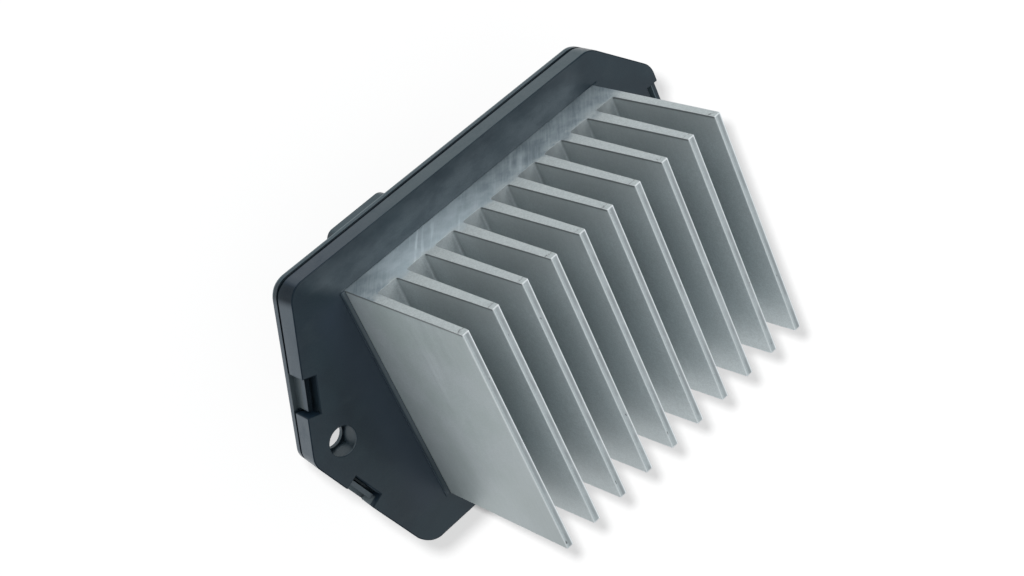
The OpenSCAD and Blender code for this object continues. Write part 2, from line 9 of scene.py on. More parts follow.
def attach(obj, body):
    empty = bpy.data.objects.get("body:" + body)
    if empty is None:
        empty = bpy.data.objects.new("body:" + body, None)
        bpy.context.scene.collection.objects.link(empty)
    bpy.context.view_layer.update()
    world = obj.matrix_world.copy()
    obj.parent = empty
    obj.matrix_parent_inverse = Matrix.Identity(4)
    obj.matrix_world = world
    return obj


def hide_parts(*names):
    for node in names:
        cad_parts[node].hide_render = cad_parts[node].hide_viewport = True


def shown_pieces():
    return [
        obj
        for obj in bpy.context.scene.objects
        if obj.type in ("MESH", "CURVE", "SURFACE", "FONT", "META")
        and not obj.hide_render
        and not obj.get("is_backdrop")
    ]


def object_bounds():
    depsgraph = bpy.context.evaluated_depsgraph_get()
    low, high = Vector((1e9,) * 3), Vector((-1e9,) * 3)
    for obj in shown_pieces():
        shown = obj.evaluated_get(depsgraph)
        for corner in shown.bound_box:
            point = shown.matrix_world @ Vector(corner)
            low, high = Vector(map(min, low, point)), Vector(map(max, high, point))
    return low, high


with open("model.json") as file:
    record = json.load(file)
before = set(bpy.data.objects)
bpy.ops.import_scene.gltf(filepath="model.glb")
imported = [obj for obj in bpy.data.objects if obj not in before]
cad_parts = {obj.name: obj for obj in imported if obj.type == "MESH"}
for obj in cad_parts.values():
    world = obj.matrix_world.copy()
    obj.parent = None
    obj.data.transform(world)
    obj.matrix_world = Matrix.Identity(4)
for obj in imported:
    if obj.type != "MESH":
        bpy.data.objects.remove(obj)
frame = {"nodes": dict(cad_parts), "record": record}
cad_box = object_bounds()
nodes = frame["nodes"]
scene = bpy.context.scene
scene.view_settings.view_transform = "Standard"

MM = 0.001

# Places on the part, in millimetres. The near end is at low x, the socket side at high y, the fins point up z


def box(node):
    """Lower and upper corner of a node."""
    points = [v.co / MM for v in nodes[node].data.vertices]
    low = Vector([min(p[i] for p in points) for i in range(3)])
    high = Vector([max(p[i] for p in points) for i in range(3)])
    return low, high


SINK_LOW, SINK_HIGH = box("heat_sink")
FLANGE_LOW, FLANGE_HIGH = box("front_frame")
FIN_COUNT = 10
FIN_TIP = 1.4
FIN_PITCH = (SINK_HIGH.x - SINK_LOW.x - FIN_TIP) / (FIN_COUNT - 1)
FIRST_FIN = SINK_LOW.x + FIN_TIP / 2
LAST_FIN = SINK_HIGH.x - FIN_TIP / 2
RIB_FRONT = SINK_LOW.x - 1.05
HOOK_TOP = box("rear_cover")[1].z
SKIRT_FOOT = FLANGE_LOW.z
LIP_TOP = SKIRT_FOOT - 0.3
LIP_FOOT = LIP_TOP - 1.1
SIDE = FLANGE_HIGH.y
FAR_END = FLANGE_HIGH.x
HOLE_X = 40
HOLE_REACH = 3.6
# Where the flange's slanted walls face, and how far from the middle they lie
NEAR_FACING = Vector((0.936, 0.352))
NEAR_WALL = 43.6
CUT_FACING = Vector((0.707, 0.707))
CUT_WALL = 45.8

# Colours of the black plastic
PLASTIC_DARK = (0.0066, 0.0122, 0.0200)
PLASTIC_PALE = (0.0108, 0.0212, 0.0300)
PLASTIC_DUST = (0.030, 0.041, 0.048)
PLASTIC_SPECKLE = (0.030, 0.039, 0.046)
PLASTIC_GLOSS_TINT = (0.80, 0.95, 1.0, 1)
# Painted reflection of the fins on the flange face and the rib
FIN_REFLECTION = (0.091, 0.111, 0.125)
# Painted light on the face in front of the rib
APRON_LIGHT = (0.018, 0.027, 0.043)
SKIRT_NEAR = (0.006, 0.018, 0.035)
SKIRT_FAR = (0.027, 0.050, 0.062)
LIP = (0.013, 0.038, 0.052)
# Painted highlight on the lower edge of the lip
LIP_HIGHLIGHT = (0.105, 0.14, 0.155)
# Painted light on the near walls and the side of the rib
LIT_WALL = (0.062, 0.084, 0.106)
BORE = (0.045, 0.072, 0.092)
# Painted light in the hook notches, paler in the lower one
WELL_LIGHT_LOWER = (0.13, 0.16, 0.175)
WELL_LIGHT_UPPER = (0.055, 0.072, 0.080)
# Painted light in the slot behind the far hooks
FAR_SLOT_LIGHT = (0.085, 0.115, 0.13)
# Dark groove between skirt and lip, with painted shade on the edge above it
SEAM = (0.002, 0.005, 0.008)
# Painted light on the top of the lower near hook, painted shade on that of the upper one
HOOK_LIT = (0.075, 0.092, 0.105)
HOOK_SHADE = (0.002, 0.003, 0.004)

# Colours of the aluminium
OUTER_DARK = (0.413, 0.487, 0.482)
OUTER_PALE = (0.509, 0.568, 0.591)
OUTER_SHADE = (0.314, 0.356, 0.362)
# Painted light on the fin sides inside the block, palest deep in the gaps, with painted shade toward the
# socket end
INNER_LIT_LOW = (0.675, 0.738, 0.755)
INNER_LIT_HIGH = (0.605, 0.666, 0.682)
INNER_END_SHADE = (0.40, 0.44, 0.45)
FLANK_SHADE = (0.314, 0.348, 0.355)
# Painted shade on the gap floors and the rounded roots
GAP_END_SHADE = (0.314, 0.350, 0.362)
GAP_SHADE = (0.200, 0.222, 0.230)
MOTTLE = (0.286, 0.326, 0.333)
MILL_LINE = (0.590, 0.643, 0.656)
# Painted shadow of a burr along the sawn edge of the fin sides
BURR_SHADOW = (0.087, 0.096, 0.100)
CUT_DARK = (0.328, 0.373, 0.381)
CUT_PALE = (0.465, 0.514, 0.521)
TIP = (0.40, 0.445, 0.458)
TIP_GROOVE = (0.227, 0.253, 0.262)
# Painted highlight on edges and along the far side of the tips, also pale chipped metal at the tip corners
HIGHLIGHT_AND_CHIP = (0.785, 0.828, 0.837)
SCRATCH = (0.105, 0.113, 0.118)
NICK = (0.052, 0.057, 0.061)
# Lit and shaded copies of the sawn base ends: painted light and painted shade
BASE_LIT_DARK = (0.372, 0.455, 0.498)
BASE_LIT_PALE = (0.505, 0.590, 0.635)
BASE_SHADED_DARK = (0.167, 0.211, 0.238)
BASE_SHADED_PALE = (0.276, 0.329, 0.357)
HATCH = (0.570, 0.653, 0.695)
BLADE_MARK = (0.703, 0.797, 0.840)
BLADE_SLANT = 42.3
SCRATCH_Z = 30.6

# Node helpers


class Graph:
    """A short way to write a node tree."""

    def __init__(self, tree):
        self.tree = tree

    def add(self, kind, **props):
        node = self.tree.nodes.new(kind)
        for key, value in props.items():
            setattr(node, key, value)
        return node

    def put(self, socket, value):
        """Link a socket into another one, or set a plain value on it. A colour gets its alpha here."""
        if isinstance(value, bpy.types.NodeSocket):
            self.tree.links.new(value, socket)
        elif isinstance(value, tuple) and len(value) == 3:
            socket.default_value = (*value, 1)
        elif value is not None:
            socket.default_value = value

    def math(self, operation, a, b=None):
        node = self.add("ShaderNodeMath", operation=operation)
        self.put(node.inputs[0], a)
        self.put(node.inputs[1], b)
        return node.outputs[0]

    def plus(self, a, b):
        return self.math("ADD", a, b)

    def less(self, a, b):
        return self.math("SUBTRACT", a, b)

    def times(self, first, *others):
        for other in others:
            first = self.math("MULTIPLY", first, other)
        return first

    def most(self, first, *others):
        for other in others:
            first = self.math("MAXIMUM", first, other)
        return first

    def rest(self, mask):
        """What a mask leaves out."""
        return self.less(1.0, mask)

    def size(self, value):
        """A value without its sign."""
        return self.math("ABSOLUTE", value)

    def ramp(self, value, start, end, low=0.0, high=1.0):
        """A smooth step from low to high while value goes from start to end."""
        node = self.add("ShaderNodeMapRange", interpolation_type="SMOOTHSTEP")
        for i, item in enumerate((value, start, end, low, high)):
            self.put(node.inputs[i], item)
        return node.outputs[0]

    def mix(self, share, a, b):
        """A colour between a and b."""
        node = self.add("ShaderNodeMix", data_type="RGBA")
        for i, item in ((0, share), (6, a), (7, b)):
            self.put(node.inputs[i], item)
        return node.outputs[2]

    def blend(self, share, a, b):
        """A number between a and b."""
        node = self.add("ShaderNodeMix", data_type="FLOAT")
        for i, item in ((0, share), (2, a), (3, b)):
            self.put(node.inputs[i], item)
        return node.outputs[0]

    def seen(self):
        """One for what the camera, a reflection or a clear piece shows, none for what only gives light."""
        path = self.add("ShaderNodeLightPath")
        reflected = path.outputs["Is Glossy Ray"]
        return self.most(path.outputs["Is Camera Ray"], reflected, path.outputs["Is Transmission Ray"])


class Surface(Graph):
    """The node tree of a new material."""

    def __init__(self, name):
        self.mat = bpy.data.materials.new(name)
        self.mat.use_nodes = True
        super().__init__(self.mat.node_tree)
        self.tree.nodes.clear()
        self.out = self.add("ShaderNodeOutputMaterial")

    def place(self, scale=(1, 1, 1), turn=0, shift=0):
        """Place on the part in millimetres, turned about Y by degrees, shifted in x, then stretched."""
        mapping = self.add("ShaderNodeMapping")
        self.put(mapping.inputs["Vector"], self.add("ShaderNodeTexCoord").outputs["Object"])
        mapping.inputs["Scale"].default_value = [1 / MM] * 3
        mapping.inputs["Rotation"].default_value = (0, math.radians(turn), 0)
        mapping.inputs["Location"].default_value = (shift, 0, 0)
        stretch = self.add("ShaderNodeVectorMath", operation="MULTIPLY")
        self.put(stretch.inputs[0], mapping.outputs["Vector"])
        stretch.inputs[1].default_value = scale
        return stretch.outputs[0]

    def noise(self, at, scale, detail=4, rough=0.55):
        node = self.add("ShaderNodeTexNoise")
        self.put(node.inputs["Vector"], at)
        node.inputs["Scale"].default_value = scale
        node.inputs["Detail"].default_value = detail
        node.inputs["Roughness"].default_value = rough
        return node.outputs["Fac"]

    def bump(self, height, depth, strength, normal=None):
        node = self.add("ShaderNodeBump")
        node.inputs["Strength"].default_value = strength
        node.inputs["Distance"].default_value = depth
        self.put(node.inputs["Height"], height)
        self.put(node.inputs["Normal"], normal)
        return node.outputs[0]

    def shade(self, color, rough, normal, metallic=0.0):
        """Put the main shader into the material and return it."""
        shader = self.add("ShaderNodeBsdfPrincipled")
        self.put(shader.inputs["Base Color"], color)
        self.put(shader.inputs["Roughness"], rough)
        self.put(shader.inputs["Normal"], normal)
        shader.inputs["Metallic"].default_value = metallic
        self.put(self.out.inputs["Surface"], shader.outputs[0])
        return shader


class PartSurface(Surface):
    """A material of the part. x, y, z are the place on it in millimetres, nx, ny, nz say where it faces."""

    def __init__(self, name):
        super().__init__(name)
        self.at = self.place()
        self.x, self.y, self.z = self.split(self.at)
        self.nx, self.ny, self.nz = self.split(self.add("ShaderNodeTexCoord").outputs["Normal"])

    def split(self, vector):
        node = self.add("ShaderNodeSeparateXYZ")
        self.put(node.inputs[0], vector)
        return node.outputs[0], node.outputs[1], node.outputs[2]


# Masks of the black plastic


def socket_side_reflection(g, smear):
    """A painted reflection of the fins along the socket side of the flange face, patchy in places."""
    across = g.ramp(g.y, SIDE, SIDE - 4.7, 0.36, 0.97)
    across = g.times(across, g.ramp(g.y, SINK_HIGH.y - 1.2, SINK_HIGH.y + 0.3))
    start = g.plus(g.x, g.times(g.less(g.y, SINK_HIGH.y), 0.9))
    along = g.times(g.ramp(g.x, 33, 27.5), g.ramp(start, -30, -26), g.ramp(g.x, -22, 10, 0.84, 1.0))
    return g.times(across, along, g.ramp(smear, 0.3, 0.65, 0.55, 1.0))


def rib_reflection(g):
    """The same painted reflection on the rib before the near fin."""
    front = g.ramp(g.x, RIB_FRONT + 0.1, RIB_FRONT + 0.5)
    across = g.times(front, g.ramp(g.x, RIB_FRONT + 1.7, RIB_FRONT + 1.4, 0.0, 0.9))
    return g.times(across, g.ramp(g.size(g.y), 23.3, 22.9), g.ramp(g.y, -20, -4, 0.4, 1.0))


def painted_apron_light(g):
    """Painted light on the face in front of the rib, lifting the shade of the near fin, a little bluer."""
    along = g.times(g.ramp(g.x, -37, -31, 0.0, 0.8), g.ramp(g.x, RIB_FRONT + 0.2, RIB_FRONT))
    return g.times(along, g.ramp(g.size(g.y), 25, 20))


def near_reach(g, y):
    """How far a place lies toward the upper near wall, or toward both where y comes without its sign."""
    return g.less(g.times(y, NEAR_FACING.y), g.times(g.x, NEAR_FACING.x))


def lit_walls(g):
    """Painted light on the upper near wall, the outer half of the lower one and the side of the rib."""
    reach = near_reach(g, g.y)
    upper = g.times(g.ramp(g.nx, -0.84, -0.92), g.ramp(reach, NEAR_WALL - 1.4, NEAR_WALL - 1))
    upper = g.times(upper, g.ramp(g.y, 28, 25.6))
    return g.most(upper, g.times(g.ramp(g.nx, -0.8, -0.95), g.ramp(reach, 34, 33)))


def away_from_holes(g):
    """None in the bores of the screw holes, one elsewhere."""
    off = g.less(g.size(g.x), HOLE_X)
    squared = g.plus(g.times(off, off), g.times(g.y, g.y))
    return g.ramp(squared, (HOLE_REACH - 0.2) ** 2, HOLE_REACH ** 2)


def skirt_color(g):
    """The wall on the socket side: the skirt from its near to its far end, and the lip below it."""
    skirt = g.mix(g.ramp(g.x, -32, -2), SKIRT_NEAR, SKIRT_FAR)
    return g.mix(g.ramp(g.z, SKIRT_FOOT - 0.2, SKIRT_FOOT), LIP, skirt)


def lip_highlight(g):
    """A painted highlight along the lower edge of the lip."""
    below = g.ramp(g.z, LIP_FOOT + 0.3, LIP_FOOT + 0.2)
    above = g.ramp(g.z, LIP_FOOT - 0.2, LIP_FOOT - 0.1)
    return g.times(below, above, g.ramp(g.ny, 0.4, 0.6))


def hook_notch(g):
    """The notches of the two near hooks, seen from above."""
    aside = g.size(g.y)
    across = g.times(g.ramp(aside, 8, 8.3), g.ramp(aside, 14.7, 14.4))
    return g.times(across, g.ramp(near_reach(g, aside), NEAR_WALL - 2, NEAR_WALL - 1.7))


def hook_well_light(g, notch):
    """Painted light in the notches below the tops of their hooks, not so high up on the socket side, paler in
    the lower notch.
    """
    height = g.plus(g.z, g.ramp(g.y, -1, 1, 0.0, 1.3))
    above = g.ramp(g.z, LIP_TOP - 0.2, LIP_TOP - 0.05)
    return g.times(notch, above, g.ramp(height, HOOK_TOP + 0.2, HOOK_TOP - 0.1))


def far_slot_light(g):
    """Painted light in the slot behind the far hooks."""
    inner = g.ramp(g.x, FAR_END - 2.9, FAR_END - 2.7)
    outer = g.ramp(g.x, FAR_END - 0.8, FAR_END - 0.9)
    return g.times(inner, outer, g.ramp(g.z, -0.2, -0.4))


def parting_seam_shade(g):
    """The dark groove between skirt and lip, and painted shade on the edge above it."""
    height = g.less(g.z, g.ramp(g.ny, 0.6, 0.9, 0.0, 0.25))
    below = g.ramp(height, SKIRT_FOOT + 0.25, SKIRT_FOOT + 0.15)
    return g.times(below, g.ramp(g.z, LIP_TOP - 0.1, LIP_TOP - 0.03))


def near_hook_top(g):
    """The tops of the two near hooks."""
    above = g.ramp(g.z, HOOK_TOP - 0.9, HOOK_TOP - 0.5)
    below = g.ramp(g.z, HOOK_TOP + 0.4, HOOK_TOP + 0.2)
    return g.times(above, below, g.ramp(g.x, 0, -1))


def rounded_corner(g):
    """The rounded wall at the upper near corner."""
    facing = g.times(g.ramp(g.nx, -0.15, -0.4), g.ramp(g.ny, 0.2, 0.32))
    spot = g.times(g.ramp(g.y, 25.8, 27.4), g.ramp(g.x, -29, -31))
    return g.times(facing, spot, g.ramp(g.z, SKIRT_FOOT - 0.3, SKIRT_FOOT + 0.1, 0.0, 0.75))


# Materials


def black_plastic(name, dust_and_shade=0.0, gloss=0.38):
    """Moulded black plastic: cloudy, a little dusty, dull on some walls. worn adds dust."""
    g = PartSurface(name)
    cloud = g.noise(g.at, 0.09, 3)
    smear = g.noise(g.place((0.5, 1, 1)), 0.3, 5, 0.62)
    grain = g.noise(g.at, 2.6, 3, 0.6)
    speckle = g.noise(g.at, 3.6, 2, 0.7)
    dust = g.ramp(smear, 0.5, 0.72)
    front = g.ramp(g.nz, 0.6, 0.9)
    wall = g.ramp(g.size(g.nz), 0.7, 0.3)
    away = away_from_holes(g)
    notch = hook_notch(g)
    seam = g.times(wall, away, g.rest(notch), parting_seam_shade(g))
    hook_top = g.times(front, near_hook_top(g))
    shaded_top = g.times(hook_top, g.ramp(g.y, 0, 1))

    color = g.mix(g.ramp(cloud, 0.35, 0.65), PLASTIC_DARK, PLASTIC_PALE)
    color = g.mix(g.times(dust, 0.3 + dust_and_shade), color, PLASTIC_DUST)
    # Painted reflection of the fins along the socket side and on the rib
    color = g.mix(g.times(front, g.most(socket_side_reflection(g, smear), rib_reflection(g))), color, FIN_REFLECTION)
    # Painted light in front of the rib
    color = g.mix(g.times(front, painted_apron_light(g)), color, APRON_LIGHT)
    color = g.mix(g.times(wall, g.ramp(g.ny, 0.88, 0.98)), color, skirt_color(g))
    # Painted light on the near walls and the rib's side
    color = g.mix(g.times(wall, lit_walls(g)), color, LIT_WALL)
    color = g.mix(g.times(wall, g.rest(away)), color, BORE)
    # Painted highlight on the lip's lower edge
    color = g.mix(lip_highlight(g), color, LIP_HIGHLIGHT)
    # Painted light in the hook notches
    color = g.mix(hook_well_light(g, notch), color, g.mix(g.ramp(g.y, -1, 1), WELL_LIGHT_LOWER, WELL_LIGHT_UPPER))
    # Painted light in the far slot
    color = g.mix(far_slot_light(g), color, FAR_SLOT_LIGHT)
    # Dark seam groove, with painted shade on the edge above it
    color = g.mix(seam, color, SEAM)
    # Painted light on the lower hook's top, painted shade on the upper one's
    color = g.mix(g.times(hook_top, g.ramp(g.y, 0, -1)), color, HOOK_LIT)
    color = g.mix(g.times(shaded_top, 0.7), color, HOOK_SHADE)
    color = g.mix(g.ramp(speckle, 0.3, 0.7, 0.0, 0.22), color, PLASTIC_SPECKLE)

    rough = g.plus(g.blend(dust, 0.34, 0.46), g.ramp(grain, 0.3, 0.7, -0.05, 0.05))
    ripple = g.bump(g.noise(g.at, 0.16, 2), 0.25 * MM, 0.2)
    shader = g.shade(color, rough, g.bump(grain, 0.02 * MM, 0.5, ripple))
    shader.inputs["IOR"].default_value = 1.5
    shader.inputs["Specular Tint"].default_value = PLASTIC_GLOSS_TINT
    # What faces away from the socket side, the shaded hook top, the round corner and the seam don't shine
    turned = g.times(g.ramp(g.nz, 0.97, 0.8), g.ramp(g.ny, -0.12, -0.3))
    dull = g.most(turned, shaded_top, g.times(wall, rounded_corner(g)), seam)
    g.put(shader.inputs["Specular IOR Level"], g.blend(dull, gloss, 0.0))
    return g.mat


def fin_turn(g):
    """Count of fins up to a place: a whole number at the middle of each fin."""
    return g.math("DIVIDE", g.less(g.x, FIRST_FIN), FIN_PITCH)


def mill_skin(g, lines, mottle):
    """The extruded faces: soft stains and faint lines along the fins, with painted light on the sides deep in
    the gaps and painted shade toward the ends, on the tips and on the gap floors.
    """
    stain = g.noise(g.at, 0.075, 4, 0.6)
    speckle = g.noise(g.at, 3.4, 2, 0.7)
    # Fin sides facing into the gaps get painted light, palest deep down, and painted shade toward the socket
    # end
    inside = g.ramp(g.x, FIRST_FIN - 0.5, FIRST_FIN - 0.2)
    inside = g.times(inside, g.ramp(g.x, LAST_FIN + 0.5, LAST_FIN + 0.2))
    outer = g.mix(g.ramp(stain, 0.3, 0.7), OUTER_DARK, OUTER_PALE)
    inner = g.mix(g.ramp(g.z, 10, 22), INNER_LIT_LOW, INNER_LIT_HIGH)
    inner = g.mix(g.ramp(g.y, -8, 12, 0.0, 0.2), inner, INNER_END_SHADE)
    skin = g.mix(inside, outer, inner)
    # Sides of the fins that face each other, darker toward both ends
    far = g.ramp(g.x, -14, 10)
    flank = g.times(inside, g.ramp(g.size(g.nx), 0.6, 0.9))
    upper = g.times(g.ramp(g.z, 9, 15, g.blend(far, 0.6, 1.0), 1.0), g.ramp(g.y, 15, 23, 0.0, 0.62))
    skin = g.mix(g.times(flank, upper), skin, FLANK_SHADE)
    lower = g.times(g.ramp(g.y, -6, -23), g.ramp(g.x, -15, 22, 0.32, 0.0))
    skin = g.mix(g.times(flank, lower), skin, FLANK_SHADE)
    # Outer sides of the first and last fin, darker toward the lower end and the tips
    shade = g.plus(g.ramp(g.y, 8, -20, 0.0, 0.5), g.ramp(g.z, 16, 30, 0.0, 0.35))
    skin = g.mix(g.times(shade, g.rest(inside)), skin, OUTER_SHADE)
    # Painted shade on the floors of the gaps toward the socket side, heavier beside one fin of each gap and
    # among the far fins, and on the rounded roots
    floor_face = g.times(g.ramp(g.nz, 0.3, 0.7), g.ramp(g.z, 9, 8))
    gap = g.math("FRACT", fin_turn(g))
    dust_and_shade = g.times(g.ramp(g.y, 16, 22.5, 0.0, 0.6), g.ramp(gap, 0.15, 0.8, 1.0, 0.15))
    dark = g.times(g.ramp(g.y, 16, 22.5, 0.3, 0.9), g.ramp(gap, 0.15, 0.8, 1.0, 0.4))
    root = g.times(g.ramp(g.nz, 0.1, 0.25), g.ramp(g.nz, 0.9, 0.75), inside)
    skin = g.mix(g.times(floor_face, dust_and_shade), skin, GAP_END_SHADE)
    skin = g.mix(g.times(floor_face, far, dark), skin, GAP_SHADE)
    skin = g.mix(g.times(root, g.ramp(g.z, 12, 10, 0.0, 0.2)), skin, GAP_SHADE)
    # Mottling, lines along the fins, and a painted shadow of a burr at the sawn edge
    skin = g.mix(g.ramp(mottle, 0.3, 0.7, 0.0, 0.16), skin, MOTTLE)
    skin = g.mix(g.ramp(speckle, 0.38, 0.62, 0.0, 0.28), skin, MOTTLE)
    skin = g.mix(g.ramp(lines, 0.35, 0.7, 0.0, 0.12), skin, MILL_LINE)
    burr_shadow = g.times(g.ramp(g.nx, -0.6, -0.9), g.ramp(g.y, SINK_HIGH.y - 0.5, SINK_HIGH.y - 0.3))
    return g.mix(g.times(burr_shadow, 0.7), skin, BURR_SHADOW)


def sawn_face(g, end, tip, fleck, mottle):
    """The sawn ends and the tips of the fins: fine flecks, a broken groove, a painted highlight, nicks and
    scratches.
    """
    cut = g.mix(g.ramp(fleck, 0.3, 0.7), CUT_DARK, CUT_PALE)
    # Each tip has a darker, broken groove, and a painted highlight along its far side
    turn = fin_turn(g)
    across = g.times(g.less(turn, g.math("ROUND", turn)), FIN_PITCH)
    groove = g.ramp(g.size(g.less(across, 0.1)), 0.45, 0.1)
    broken = g.ramp(g.noise(g.place((0.6, 0.22, 0.1)), 0.9, 3), 0.35, 0.6, 0.25, 0.8)
    cut = g.mix(g.times(tip, 0.35), cut, TIP)
    cut = g.mix(g.times(tip, groove, broken), cut, TIP_GROOVE)
    cut = g.mix(g.times(tip, g.ramp(across, 0.36, 0.52, 0.0, 0.7)), cut, HIGHLIGHT_AND_CHIP)
    # Scratches cross the ends of the fins next to their tips
    height = g.plus(g.z, g.ramp(mottle, 0.3, 0.7, -0.4, 0.4))
    scratch = g.ramp(g.size(g.less(height, SCRATCH_Z)), 0.16, 0.06)
    scratch = g.times(scratch, g.ramp(mottle, 0.38, 0.52, 0.25, 0.9))
    cut = g.mix(g.times(end, scratch), cut, SCRATCH)
    nick = g.ramp(g.noise(g.place((1, 0.3, 1)), 1.9, 1), 0.73, 0.78)
    return g.mix(g.times(tip, nick, 0.8), cut, NICK)


def blade_marks(g):
    """A few slanted marks of the saw blade on the ends of the base."""
    saw = g.noise(g.place((1, 0.2, 0.045), BLADE_SLANT, 1.7), 0.9, 2, 0.5)
    patch = g.noise(g.at, 0.11, 2)
    marks = g.times(g.ramp(saw, 0.52, 0.7), g.ramp(patch, 0.48, 0.62))
    return g.times(marks, g.ramp(g.x, -10, -4, 0.8, 0.3))


def base_face(g, cloud, marks):
    """The sawn ends of the base: clouds, painted light toward the near end and painted shade elsewhere, with
    fine hatching and blade marks.
    """
    clouds = g.ramp(cloud, 0.3, 0.7)
    lit_face = g.mix(clouds, BASE_LIT_DARK, BASE_LIT_PALE)
    shaded_face = g.mix(clouds, BASE_SHADED_DARK, BASE_SHADED_PALE)
    lit = g.times(g.ramp(g.x, -26, -17, 0.15, 1.0), g.ramp(g.x, -12, 12, 1.0, 0.0))
    face = g.mix(lit, shaded_face, lit_face)
    hatch = g.noise(g.place((1, 0.2, 0.06), BLADE_SLANT), 3.2, 2, 0.6)
    face = g.mix(g.ramp(hatch, 0.35, 0.7, 0.0, 0.18), face, HATCH)
    return g.mix(marks, face, BLADE_MARK)


def edge_highlights_and_chips(g, edge_highlight):
    """Painted highlights on edges next to the tips and along the lower end; at the tip corners also pale
    chipped metal.
    """
    corner = g.times(g.ramp(g.z, 30.9, 31.5), g.ramp(g.y, SINK_HIGH.y - 0.7, SINK_HIGH.y - 0.3, edge_highlight, 0.55))
    lower = g.ramp(g.y, SINK_LOW.y + 0.5, SINK_LOW.y + 0.2, 0.0, edge_highlight)
    return g.most(g.ramp(g.z, 26, 30, 0.0, edge_highlight), corner, lower)


def aluminium(name, edge_highlight=0.0):
    """Extruded aluminium with sawn ends. The second argument is how much painted highlight its edges get."""
    g = PartSurface(name)
    lines = g.noise(g.place((6, 0.04, 6)), 0.55, 3)
    mottle = g.noise(g.at, 0.9, 4, 0.65)
    fleck = g.noise(g.at, 3.2, 4, 0.75)
    cloud = g.noise(g.at, 0.3, 4, 0.6)
    marks = blade_marks(g)
    end = g.ramp(g.size(g.ny), 0.55, 0.85)
    tip = g.times(g.ramp(g.nz, 0.55, 0.85), g.ramp(g.z, 20, 24))
    sawn = g.most(end, tip)
    base = g.ramp(g.plus(g.z, g.ramp(cloud, 0.3, 0.7, -1.2, 1.2)), 9, 6)

    color = g.mix(sawn, mill_skin(g, lines, mottle), sawn_face(g, end, tip, fleck, mottle))
    color = g.mix(g.times(base, end), color, base_face(g, cloud, marks))
    if edge_highlight:
        color = g.mix(edge_highlights_and_chips(g, edge_highlight), color, HIGHLIGHT_AND_CHIP)
    rough = g.blend(sawn, g.ramp(lines, 0.3, 0.7, 0.42, 0.5), g.ramp(fleck, 0.3, 0.7, 0.42, 0.54))
    height = g.blend(end, g.times(lines, 0.2), g.plus(marks, g.times(fleck, 0.6)))
    g.shade(color, rough, g.bump(height, 0.03 * MM, 0.5), 0.43)
    return g.mat


def plain(name, color, rough, metallic=0.0, grain=1.2):
    """Small inner parts: one colour with a little mottling and uneven gloss."""
    spread = 0.12
    g = Surface(name)
    mottle = g.noise(g.place(), grain, 4, 0.6)
    dark = tuple(c * (1 - spread) for c in color)
    pale = tuple(c * (1 + spread) for c in color)
    uneven = g.ramp(mottle, 0.3, 0.7, rough - 0.06, rough + 0.06)
    g.shade(g.mix(mottle, dark, pale), uneven, g.bump(mottle, 0.01 * MM, 0.4), metallic)
    return g.mat


MATERIALS = {
    "black_plastic": black_plastic("moulded_black"),
    "aluminium_block": aluminium("extruded_aluminium"),
    "board_green": plain("board_mask", (0.012, 0.095, 0.035), 0.35),
    "black_epoxy": plain("moulded_epoxy", (0.011, 0.011, 0.012), 0.5, grain=3),
    "tinned_copper": plain("tin_plate", (0.60, 0.60, 0.57), 0.3, 1.0, 2),
    "pad_grey": plain("silicone_pad", (0.52, 0.55, 0.57), 0.6),
    "plated_steel": plain("zinc_plate", (0.55, 0.55, 0.53), 0.32, 1.0, 2),
    "can_sleeve": plain("shrink_sleeve", (0.03, 0.035, 0.06), 0.3),
    "resistor_ceramic": plain("glazed_resistor", (0.02, 0.02, 0.022), 0.25),
    "capacitor_ceramic": plain("tan_ceramic", (0.34, 0.21, 0.11), 0.45),
}
EDGE_MATERIALS = {
    "black_plastic": black_plastic("moulded_black_edge", 0.05, 0.1),
    "aluminium_block": aluminium("extruded_aluminium_edge", 0.42),
}
for part in frame["record"]["subparts"]:
    part_materials = nodes[part["node"]].data.materials
    part_materials.clear()
    part_materials.append(MATERIALS[part["material_slot"]])

# Rounded pieces

SHARP = math.radians(28)
FLAT = math.radians(0.5)
SMOOTH_LIMIT = math.cos(math.radians(35))
SINK_ROUND = 0.22 * MM
PLASTIC_ROUND = 0.6 * MM
# Where faces are divided: through the holes and the middle of the heat sink, so that no face has a hole in it
SINK_MIDDLE = (SINK_LOW.x + SINK_HIGH.x) / 2
SINK_SCREW_IN = 6
TRANSISTOR_X = 15
SINK_SPLITS = (SINK_LOW.x + SINK_SCREW_IN, SINK_MIDDLE, TRANSISTOR_X, SINK_HIGH.x - SINK_SCREW_IN)
PLASTIC_SPLITS = (-HOLE_X, SINK_MIDDLE, HOLE_X)
# Shares of the round that edges get
TIP_SHARE = 1.0
BASE_SHARE = 0.7
FIN_SHARE = 0.3
OUTER_SHARE = 0.35
INNER_SHARE = 0.25
HOLE_SHARE = 0.08
# Where those edges are: above and below these heights, and within these distances of the front and the walls
TIPS_ABOVE = 20
BASE_BELOW = 6
FRONT_WITHIN = 0.1
WALLS_WITHIN = 1.2
# Around the window in the frame no edge is rounded
WINDOW_NEAR = -29.5
WINDOW_FAR = 36
WINDOW_SIDE = 25
# How much the near walls draw in per millimetre of depth: at the peak, and on the way to both corners
PEAK_DRAFT = 0.05
LOWER_DRAFT = 0.06
UPPER_DRAFT = -0.09
PEAK_HALF = 1.2
UPPER_RUN = 24.8
# How far the long edges and the lower near corner move, and over what width the moves fade in
LONG_EDGE = 71.2
LOWER_SIDE_OUT = 0.4
UPPER_NEAR_OUT = 0.08
UPPER_FAR_IN = 0.25
CORNER_IN = 0.5
CORNER_FACING = Vector((0.569, 0.822))
CORNER_WALL = 41.8
CORNER_FADE = 1.6
SIDE_FADE = 2
UPPER_FADE = 1.5


